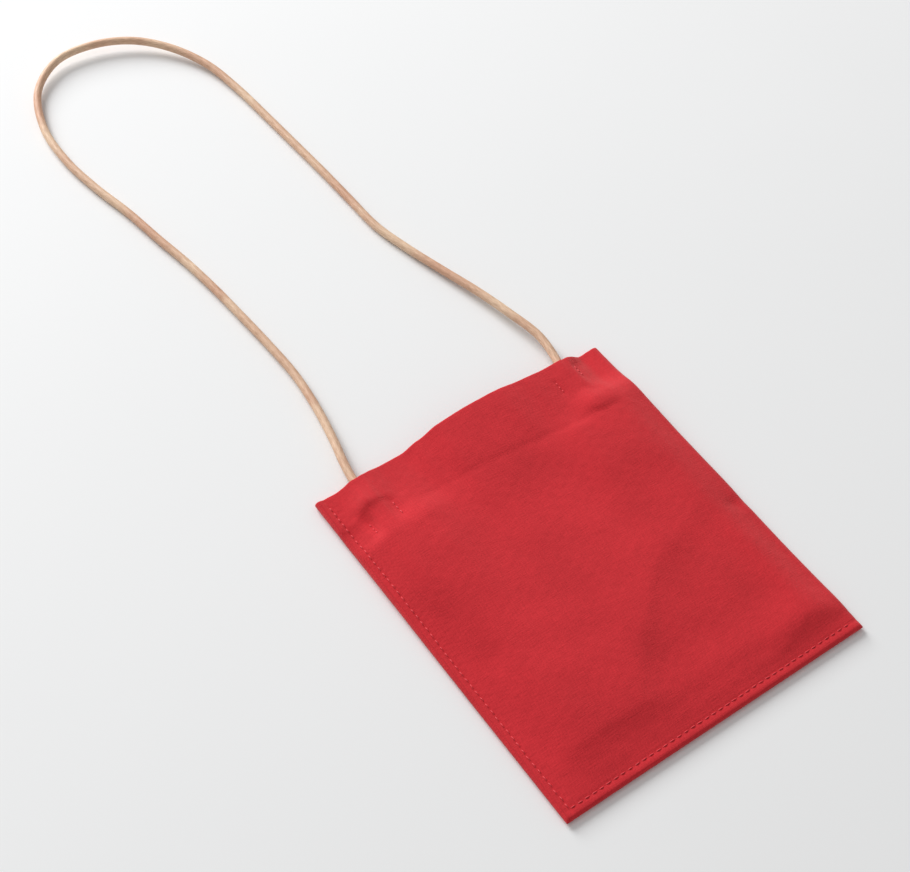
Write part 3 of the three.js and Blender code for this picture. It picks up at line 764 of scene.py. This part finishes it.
class Finish:
    """A node material with functions that add and link its nodes, each labelled with what it is for."""

    def __init__(self, name):
        self.material = bpy.data.materials.new(name)
        self.material.use_nodes = True
        self.tree = self.material.node_tree
        self.shader = self.tree.nodes["Principled BSDF"]

    def add(self, kind, label, **values):
        """A node with its properties or its inputs set by name."""
        node = self.tree.nodes.new(kind)
        node.label = label
        for key, value in values.items():
            if hasattr(node, key):
                setattr(node, key, value)
            else:
                node.inputs[key.replace("_", " ").title()].default_value = value
        return node

    def into(self, socket, value):
        """Links an output to the socket, or sets the socket to a plain value."""
        if isinstance(value, bpy.types.NodeSocket):
            self.tree.links.new(value, socket)
        else:
            socket.default_value = value

    def worked_out(self, label, operation, *values):
        """One arithmetic step."""
        node = self.add("ShaderNodeMath", label, operation=operation)
        for socket, value in zip(node.inputs, values):
            self.into(socket, value)
        return node.outputs[0]

    def noise(self, label, place, scale, detail, stretch=None):
        """Noise at the place, after stretching it."""
        if stretch:
            mapping = self.add("ShaderNodeMapping", label, scale=stretch)
            self.into(mapping.inputs[0], place)
            place = mapping.outputs[0]
        node = self.add("ShaderNodeTexNoise", label, scale=scale, detail=detail)
        self.into(node.inputs["Vector"], place)
        return node.outputs[0]

    def ramp(self, label, value, dark, light, start=0.0, end=1.0):
        """From the dark colour at the start to the light one at the end."""
        node = self.add("ShaderNodeValToRGB", label)
        for element, position, colour in zip(node.color_ramp.elements, (start, end), (dark, light)):
            element.position = position
            element.color = (*np.minimum(colour, 1), 1)
        self.into(node.inputs[0], value)
        return node.outputs[0]

    def bump(self, label, height, strength, distance):
        """Relief of the given height that is too fine for the mesh."""
        node = self.add("ShaderNodeBump", label, strength=strength, distance=distance)
        self.into(node.inputs["Height"], height)
        self.into(self.shader.inputs["Normal"], node.outputs[0])

    def surface(self, **values):
        """Sets or links inputs of the shader by name."""
        for key, value in values.items():
            name = key.replace("_", " ").title().replace("Ior", "IOR")
            self.into(self.shader.inputs[name], value)


def linear(colour):
    """An sRGB colour of three parts up to one as the linear one that shaders take."""
    part = np.array([*colour])
    return np.where(part <= 0.04045, part / 12.92, ((part + 0.055) / 1.055) ** 2.4)


def canvas_material(name, colour, weave):
    """Cotton canvas: a plain weave of slubby threads with a soft nap, with painted shade between the
    threads.
    """
    canvas = Finish(name)
    cloth = canvas.add("ShaderNodeUVMap", "Threads follow the cloth", uv_map="cloth").outputs[0]
    split = canvas.add("ShaderNodeSeparateXYZ", "Warp and weft")
    canvas.into(split.inputs[0], cloth)
    turns = 2 * math.pi / weave
    threads = []
    for label, along in (("Warp", split.outputs[0]), ("Weft", split.outputs[1])):
        phase = canvas.worked_out("Turns", "MULTIPLY", along, turns)
        threads.append(canvas.worked_out(label, "SINE", phase))
    over = canvas.worked_out("Over and under", "MULTIPLY", *threads)

    warp_slubs = canvas.noise("Warp slubs", cloth, scale=1.0, detail=2.0, stretch=(2600, 160, 0))
    weft_slubs = canvas.noise("Weft slubs", cloth, scale=1.0, detail=2.0, stretch=(160, 2600, 0))
    slubs = canvas.worked_out("Slubs", "ADD", warp_slubs, weft_slubs)
    nap = canvas.noise("Nap", cloth, scale=1400.0, detail=4.0)
    weave_height = canvas.worked_out("Weave height", "MULTIPLY", over, 0.30)
    height = canvas.worked_out("Thread height", "ADD", weave_height, slubs)
    height = canvas.worked_out("With nap", "ADD", height, nap)
    rumples = canvas.noise("Rumples", cloth, scale=330.0, detail=3.0)
    relief = canvas.worked_out("With rumples", "ADD", height, rumples)

    dye = canvas.noise("Uneven dye", cloth, scale=38.0, detail=3.0)
    # Painted shade: the colour follows the height of the threads, darker where they lie low between each
    # other and lighter on their tops.
    painted_thread_shade = canvas.worked_out("Painted shade of the thread height", "MULTIPLY", height, 0.26)
    dye_tone = canvas.worked_out("Tone of the dye", "MULTIPLY", dye, 0.3)
    tone = canvas.worked_out("Tone", "ADD", painted_thread_shade, dye_tone)
    base = linear(colour)
    label = "Shadow between threads to thread top"
    colours = canvas.ramp(label, tone, base * 0.78, base * 1.22 + 0.004, start=0.3, end=0.75)
    canvas.bump("Weave", relief, strength=0.55, distance=0.00022)
    canvas.surface(
        base_color=colours, roughness=0.93, specular_ior_level=0.2,
        sheen_weight=0.25, sheen_roughness=0.5, sheen_tint=(1.0, 0.55, 0.5, 1),
    )
    return canvas.material


def thread_material(name, colour):
    """Polyester sewing thread, a little glossier than the canvas."""
    thread = Finish(name)
    place = thread.add("ShaderNodeTexCoord", "Place").outputs["Object"]
    fibres = thread.noise("Fibres", place, scale=900.0, detail=3.0)
    base = linear(colour)
    thread.surface(base_color=thread.ramp("Fibre tone", fibres, base * 0.75, base * 1.3), roughness=0.55)
    return thread.material


def leather_material(name, colour):
    """Undyed leather cord: long fibres, pale scuffs on top, rosy and tan patches along its length."""
    leather = Finish(name)
    along = leather.add("ShaderNodeUVMap", "Along the cord", uv_map="cloth").outputs[0]
    fibres = leather.noise("Fibres", along, scale=1500.0, detail=5.0, stretch=(2.2, 0.16, 1))
    scuffs = leather.noise("Scuffs", along, scale=420.0, detail=4.0, stretch=(1.0, 0.22, 1))
    patches = leather.noise("Patches", along, scale=26.0, detail=3.0, stretch=(0.1, 1, 1))
    base = linear(colour)
    rosy, pale = np.array([0.9, 0.76, 0.7]), np.array([1.08, 1.12, 1.08])
    skin = leather.ramp("Rosy to tan", patches, base * rosy, base * pale, start=0.38, end=0.62)
    grooves = leather.ramp(
        "Fibre tone", fibres, (0.55, 0.47, 0.4), (1.0, 1.0, 1.0), start=0.36, end=0.66
    )
    blend = leather.add("ShaderNodeMix", "Fibres over patches", data_type="RGBA", blend_type="MULTIPLY")
    factor, first, second = blend.inputs[0], blend.inputs[6], blend.inputs[7]
    leather.into(factor, 0.7)
    leather.into(first, skin)
    leather.into(second, grooves)
    gloss = leather.add("ShaderNodeMapRange", "Scuffed gloss", to_min=0.42, to_max=0.68)
    leather.into(gloss.inputs["Value"], scuffs)
    scuff_height = leather.worked_out("Scuff height", "MULTIPLY", scuffs, 0.8)
    grain = leather.worked_out("Grain", "ADD", fibres, scuff_height)
    leather.bump("Grain", grain, strength=0.5, distance=0.0002)
    leather.surface(base_color=blend.outputs[2], roughness=gloss.outputs[0])
    return leather.material


def floor_material(name, colour):
    """A matt pale board with the faintest mottling."""
    board = Finish(name)
    place = board.add("ShaderNodeTexCoord", "Place").outputs["Object"]
    mottling = board.noise("Mottling", place, scale=9.0, detail=2.0)
    base = linear(colour)
    tones = board.ramp("Pale tones", mottling, base * 0.985, base)
    board.surface(base_color=tones, roughness=0.75, specular_ior_level=0.25)
    return board.material


# Settings that a user would change

def colour_property(label, description, default):
    """A colour setting, with its default given in parts up to 255."""
    return bpy.props.FloatVectorProperty(
        name=label, description=description, subtype="COLOR_GAMMA", size=3, min=0, max=1,
        default=tuple(part / 255 for part in default),
    )


def length_property(label, description, default):
    """A length setting in metres."""
    return bpy.props.FloatProperty(
        name=label, description=description, subtype="DISTANCE", unit="LENGTH", default=default, min=0.00005
    )


def strength_property(label, description, default):
    """A setting for how strong a light is."""
    return bpy.props.FloatProperty(name=label, description=description, default=default, min=0)


class PouchCanvasSettings(bpy.types.PropertyGroup):
    """Cloth and thread of the pouch."""

    colour: colour_property("Canvas", "Colour of the dyed canvas", (201, 40, 49))
    weave: length_property("Weave", "Distance between two threads of the canvas", 0.00075)
    thread: colour_property("Thread", "Colour of the sewing thread", (210, 50, 60))
    stitch: length_property("Stitch", "Length of one stitch of the seams, with its gap", 0.0035)
    thread_width: length_property("Thread width", "Width of the sewing thread", 0.00055)


class PouchCordSettings(bpy.types.PropertyGroup):
    """Leather cord of the strap."""

    diameter: length_property("Diameter", "Diameter of the round cord", 0.004)
    colour: colour_property("Leather", "Colour of the undyed leather", (231, 197, 171))


class PouchStageSettings(bpy.types.PropertyGroup):
    """Floor, light and camera."""

    floor: colour_property("Floor", "Colour of the floor", (238, 239, 240))
    key: strength_property("Key light", "Strength of the soft light from behind the mouth", 102.0)
    side: strength_property("Side light", "Strength of the weak light over the strap", 1.2)
    fill: strength_property("Fill", "Strength of the light from all round", 0.42)
    lens: bpy.props.FloatProperty(
        name="Lens", description="Focal length", subtype="DISTANCE_CAMERA", default=73.19, min=1
    )


# The cord's route, as the solids have it

STRAP_POINTS = [
    [-53.9, 191.4, 1.8], [-51.3, 201.9, 1.4], [-47.2, 223.2, 0.7], [-44.9, 245.2, 0.2], [-45.3, 266.9, 0],
    [-46.6, 288.6, 0], [-48.2, 310.3, 0], [-50.7, 332.2, 0], [-54.3, 354, 0], [-57.7, 377, 0],
    [-62.6, 400.8, 0], [-65.7, 425.4, 0.1], [-64.3, 452, 0.6], [-53.8, 478, 1.5], [-35.8, 490.8, 2.7],
    [-15.2, 490, 3.3], [2.8, 481.4, 3.2], [16.6, 466.8, 2.2], [26.5, 446, 1.1], [30.6, 421.1, 0.4],
    [32.3, 395.7, 0], [33.5, 370.8, 0], [34.6, 346.6, 0], [35.2, 323.3, 0], [35.9, 300.4, 0.1],
    [40.1, 279.5, 0.4], [45.4, 259, 0.9], [50.6, 238.7, 1.8], [54.7, 218.4, 2.6], [57.7, 198.3, 3],
]

# The knots, in knot spreads across and up and in knot lifts above and below their middle
HALF_KNOT = [
    [-0.08, 0.72, -0.5], [0.75, 1.4, -1], [1.9, 1.95, -0.6], [2.75, 1.85, -0.2], [3.1, 1.2, 0.3],
    [2.85, 0.55, 0.75], [2.3, 0, 1], [1.85, -0.42, 0.6], [1.4, -0.86, -0.5], [0.75, -1.4, -1],
    [0.12, -2.2, -0.5],
]
KNOT_LEAD = [[0, 3, 0], [0, 2.8, 0]]
KNOT_MIDDLE = [[-0.35, 0, 0]]
KNOT_TAIL = [[0, -3, -0.5], [0, -3.8, -0.9]]

# The strap's gap to the floor, and how much thinner the cord is in the knots
FLOOR_GAP = 0.05
KNOT_CLEARANCE = 0.02

# Points around the cord, the steps along it, and the share by which its radius wanders
CORD_AROUND = 24
CORD_STEP, KNOT_STEP = 1.0, 0.7
ROUGHNESS = 0.008


def cord_route(form):
    """Points of the strap from the left knot, through its loop, round the floor and to the right knot."""
    lead = KNOT_LEAD[0][1] * form.knot_spread + form.clearance

    def inside(end):
        """Points from the knot, through the loop, to the mouth."""
        start = end.knot_y + lead
        below = end.loop_y - form.loop_width / 2
        past = end.loop_y + form.loop_width / 2
        to_mouth = [past, (past + form.height) / 2, form.height]
        return [
            [end.x, start, form.knot_middle],
            [end.x, (start + below) / 2, (form.knot_middle + form.cord_in_loop) / 2],
            [end.x, below, form.cord_in_loop],
            *([form.cord_x(end, y), y, form.cord_z(end, y)] for y in to_mouth),
        ]

    strap = np.array(STRAP_POINTS, float) + [0, 0, form.cord_radius + FLOOR_GAP]
    return np.vstack([inside(form.left), strap, inside(form.right)[::-1]])


def knot_route(form, end):
    """Points of an overhand knot: one half of it, and the same half turned over."""
    half = np.array(HALF_KNOT, float)
    turned_over = (half * [1, -1, -1])[::-1]
    strand = np.vstack([KNOT_LEAD, turned_over, KNOT_MIDDLE, half, KNOT_TAIL])
    scale = [end.turn * form.knot_spread, form.knot_spread, form.knot_lift]
    return strand * scale + [end.x, end.knot_y, form.knot_middle]


def dressed(piece, material, node):
    """Gives a piece its material, its body and the node that it stands for."""
    piece.data.materials.append(material)
    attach(piece, "root")
    if node:
        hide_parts(node)
    return piece


# The stage, in metres

FLOOR_REACH = 3.0
FLOOR_DROP = 0.00002

# The camera, as fitted to the corners of the pouch
CAMERA_TARGET = Vector((-0.00441, 0.08669, 0))
CAMERA_HEADING = (0.5733, 0.8194)
CAMERA_TILT = math.radians(53.3)
CAMERA_DISTANCE = 0.8188
SENSOR_WIDTH = 36

# Each lamp's setting, place and size, and what they all point at
LAMPS = (("key", (-0.2, 2.7, 1.42), 1.6), ("side", (-0.6, 0.5, 1.3), 0.6))
LAMPS_AIM = Vector((0, 0.12, 0))
ROOM_COLOUR = (1.0, 0.99, 0.975, 1)


class POUCH_OT_stage(bpy.types.Operator):
    """Adds the floor, the soft light and the camera of the photograph"""

    bl_idname = "pouch.stage"
    bl_label = "Add stage"

    def execute(self, context):
        settings = context.scene.pouch_stage
        reach = FLOOR_REACH
        corners = np.array([(-reach, -reach, 0), (reach, -reach, 0), (reach, reach, 0), (-reach, reach, 0)])
        floor = new_piece("floor", corners, [[0, 1, 2, 3]], smooth=False)
        floor.location.z = -FLOOR_DROP
        floor.data.materials.append(floor_material("floor board", settings.floor))

        heading = [part * math.cos(CAMERA_TILT) for part in CAMERA_HEADING]
        forward = Vector((*heading, -math.sin(CAMERA_TILT)))
        camera = bpy.data.objects.new("camera", bpy.data.cameras.new("camera"))
        camera.data.lens = settings.lens
        camera.data.sensor_width = SENSOR_WIDTH
        camera.data.clip_start = 0.01
        camera.location = CAMERA_TARGET - forward * CAMERA_DISTANCE
        camera.rotation_euler = forward.to_track_quat("-Z", "Y").to_euler()
        context.scene.collection.objects.link(camera)
        context.scene.camera = camera

        for name, place, size in LAMPS:
            lamp = bpy.data.lights.new(name, "AREA")
            lamp.energy = getattr(settings, name)
            lamp.size = size
            light = bpy.data.objects.new(name, lamp)
            light.location = place
            light.rotation_euler = (LAMPS_AIM - Vector(place)).to_track_quat("-Z", "Y").to_euler()
            context.scene.collection.objects.link(light)

        world = bpy.data.worlds.new("room")
        world.use_nodes = True
        background = world.node_tree.nodes["Background"]
        background.inputs["Color"].default_value = ROOM_COLOUR
        background.inputs["Strength"].default_value = settings.fill
        context.scene.world = world
        context.scene.view_settings.view_transform = "Standard"
        return {"FINISHED"}


class POUCH_OT_cord(bpy.types.Operator):
    """Adds the leather cord with the knots at its two ends"""

    bl_idname = "pouch.cord"
    bl_label = "Add cord"

    def execute(self, context):
        settings = context.scene.pouch_cord
        form = PouchForm(settings.diameter / MM)
        leather = leather_material("natural leather", settings.colour)
        for name, end, seed in (("left", form.left, 11), ("right", form.right, 12)):
            path = smooth_curve(knot_route(form, end), KNOT_STEP)
            radius = form.cord_radius - KNOT_CLEARANCE
            knot = tube(f"knot_{name}", path, radius, CORD_AROUND, ROUGHNESS, seed)
            dressed(knot, leather, f"cord_knot_{name}")
        path = smooth_curve(cord_route(form), CORD_STEP)
        strap = tube("strap", path, form.cord_radius, CORD_AROUND, ROUGHNESS, seed=3)
        dressed(strap, leather, "leather_cord")
        return {"FINISHED"}


class POUCH_OT_canvas(bpy.types.Operator):
    """Adds the folded and sewn canvas of the pouch and its two inner loops"""

    bl_idname = "pouch.canvas"
    bl_label = "Add canvas"

    def execute(self, context):
        settings = context.scene.pouch_canvas
        form = PouchForm(context.scene.pouch_cord.diameter / MM)
        canvas = canvas_material("red canvas", settings.colour, settings.weave)
        vertices, faces, uvs = pouch_surface(form, settings.stitch / MM)
        pouch = new_piece("pouch_canvas", to_frame(vertices), faces, uvs)
        dressed(pouch, canvas, "pouch_body")
        for name, end in (("left", form.left), ("right", form.right)):
            vertices, faces, uvs = strip_surface(form, end)
            strip = new_piece(f"loop_{name}", to_frame(vertices), faces, uvs)
            dressed(strip, canvas, f"cord_loop_{name}")
        return {"FINISHED"}


# Stitches

# The gap as a share of a stitch, how far its ends stray, and where the seams' rows stop short
STITCH_GAP = 0.24
STITCH_STRAY = 0.10
STOP_AT_MOUTH, STOP_AT_FOLD = 3, 2

# Stitches in a row that holds a loop, and how much thicker their thread lies
TACKS = 3
TACK_THICKNESS = 1.1

# How deep the thread sinks in and how high it arches, in its radii, and how far it clears the floor
SINK = 0.35
SEAM_LIFT, TACK_LIFT = 0.7, 0.6
BACK_LIFT = 0.06


class POUCH_OT_stitches(bpy.types.Operator):
    """Adds the topstitching of the seams and the stitches that hold the loops"""

    bl_idname = "pouch.stitches"
    bl_label = "Add stitches"

    def execute(self, context):
        settings = context.scene.pouch_canvas
        form = PouchForm(context.scene.pouch_cord.diameter / MM)
        pitch = settings.stitch / MM
        radius = settings.thread_width / MM / 2
        thread = thread_material("red thread", settings.thread)

        def surface(x, y):
            """Height of the cloth under the thread."""
            return form.front_top(x, y) + cloth_detail(form, x, y, pitch)

        def row(x0, y0, x1, y1, count, rng):
            """Both ends of each stitch in a straight row, each straying a little from its place."""
            gap = STITCH_GAP / count
            start = np.arange(count) / count + gap / 2
            run = 1 / count - gap
            x0s, y0s = x0 + (x1 - x0) * start, y0 + (y1 - y0) * start
            x1s, y1s = x0s + (x1 - x0) * run, y0s + (y1 - y0) * run
            stray = STITCH_STRAY * rng.standard_normal((4, count))
            return np.array([x0s, y0s, x1s, y1s]) + stray

        def stitched(name, starts, ends, lift, width):
            """A piece of stitches in thread."""
            vertices, faces = stitch_surface(starts, ends, lift, width)
            dressed(new_piece(name, to_frame(vertices), faces), thread, None)

        def on_front(name, rows, lift, width):
            """Stitches that sink into the front at their ends and arch over it by lift."""
            x0, y0, x1, y1 = rows
            starts = np.stack([x0, y0 - form.drawn(x0, y0), surface(x0, y0) - SINK * radius], axis=1)
            ends = np.stack([x1, y1 - form.drawn(x1, y1), surface(x1, y1) - SINK * radius], axis=1)
            middle = surface((x0 + x1) / 2, (y0 + y1) / 2) + lift * radius
            stitched(name, starts, ends, middle - (starts[:, 2] + ends[:, 2]) / 2, width)

        rng = np.random.default_rng(21)
        inset = form.topstitch_inset
        left_x = -form.width / 2 + inset
        side_count = int((form.height - STOP_AT_MOUTH - inset) / pitch)
        bottom_count = int((form.width - STOP_AT_FOLD - inset) / pitch)
        left_row = row(left_x, inset, left_x, inset + side_count * pitch, side_count, rng)
        bottom_row = row(left_x, inset, left_x + bottom_count * pitch, inset, bottom_count, rng)
        seams = np.hstack([left_row, bottom_row])
        on_front("topstitch_front", seams, SEAM_LIFT, radius)
        x0, y0, x1, y1 = seams
        back_z = np.full(len(x0), radius + BACK_LIFT)
        back_starts = np.stack([x0, y0, back_z], axis=1)
        back_ends = np.stack([x1, y1, back_z], axis=1)
        stitched("topstitch_back", back_starts, back_ends, np.zeros(len(x0)), radius)

        tacks = np.hstack([row(x, low, x, high, TACKS, rng) for x, low, high in tack_rows(form)])
        on_front("loop_tacks", tacks, TACK_LIFT, TACK_THICKNESS * radius)
        return {"FINISHED"}


OPERATORS = (POUCH_OT_stage, POUCH_OT_cord, POUCH_OT_canvas, POUCH_OT_stitches)
SETTINGS = {
    "pouch_canvas": PouchCanvasSettings, "pouch_cord": PouchCordSettings, "pouch_stage": PouchStageSettings,
}


class POUCH_PT_panel(bpy.types.Panel):
    """Lists the settings and the steps that build the pouch."""

    bl_idname = "POUCH_PT_panel"
    bl_label = "Canvas pouch"
    bl_space_type = "VIEW_3D"
    bl_region_type = "UI"
    bl_category = "Pouch"

    def draw(self, context):
        for name, group in SETTINGS.items():
            box = self.layout.box()
            for key in group.__annotations__:
                box.prop(getattr(context.scene, name), key)
        for operator in OPERATORS:
            self.layout.operator(operator.bl_idname)


def register():
    for group in (*SETTINGS.values(), *OPERATORS, POUCH_PT_panel):
        bpy.utils.register_class(group)
    for name, group in SETTINGS.items():
        setattr(bpy.types.Scene, name, bpy.props.PointerProperty(type=group))


def unregister():
    for name in SETTINGS:
        delattr(bpy.types.Scene, name)
    for group in (POUCH_PT_panel, *OPERATORS[::-1], *SETTINGS.values()):
        bpy.utils.unregister_class(group)


def main():
    register()
    bpy.ops.pouch.stage()
    bpy.ops.pouch.cord()
    bpy.ops.pouch.canvas()
    bpy.ops.pouch.stitches()


if __name__ == "__main__":
    main()
